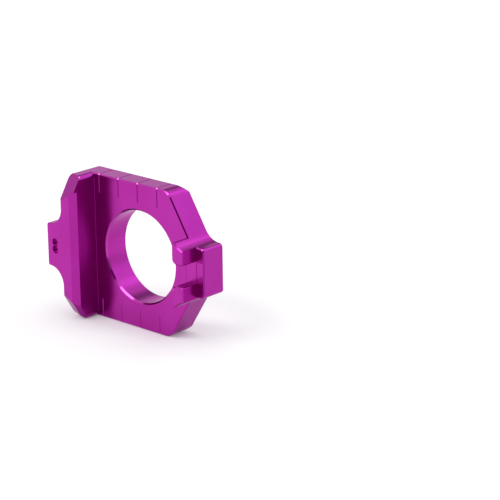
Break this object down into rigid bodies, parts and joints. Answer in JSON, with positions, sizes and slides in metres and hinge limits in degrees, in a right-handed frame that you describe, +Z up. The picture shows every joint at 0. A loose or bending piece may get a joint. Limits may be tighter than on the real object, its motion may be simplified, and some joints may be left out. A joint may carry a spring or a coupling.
{
  "type": "motorcycle chain adjuster block",
  "caption": "Billet axle block for a motorcycle swingarm slot: locates the rear axle and keeps its flat-sided head from turning while the chain is tensioned.",
  "frame": {"origin": "on the axle bore's axis, halfway through the plate", "axes": "+X along the swingarm slot, from the wall towards the two tabs; +Y through the plate, from the outer face with the wall and tabs to the inner face against the swingarm; +Z up, with the block standing on a long edge"},
  "size_m": [0.0479, 0.0146, 0.0382],
  "materials": {
    "anodised_aluminium": "satin purple anodising over milled and tumbled billet"
  },
  "bodies": {
    "root": {"axle_block": "anodised_aluminium"}
  },
  "joints": []
}
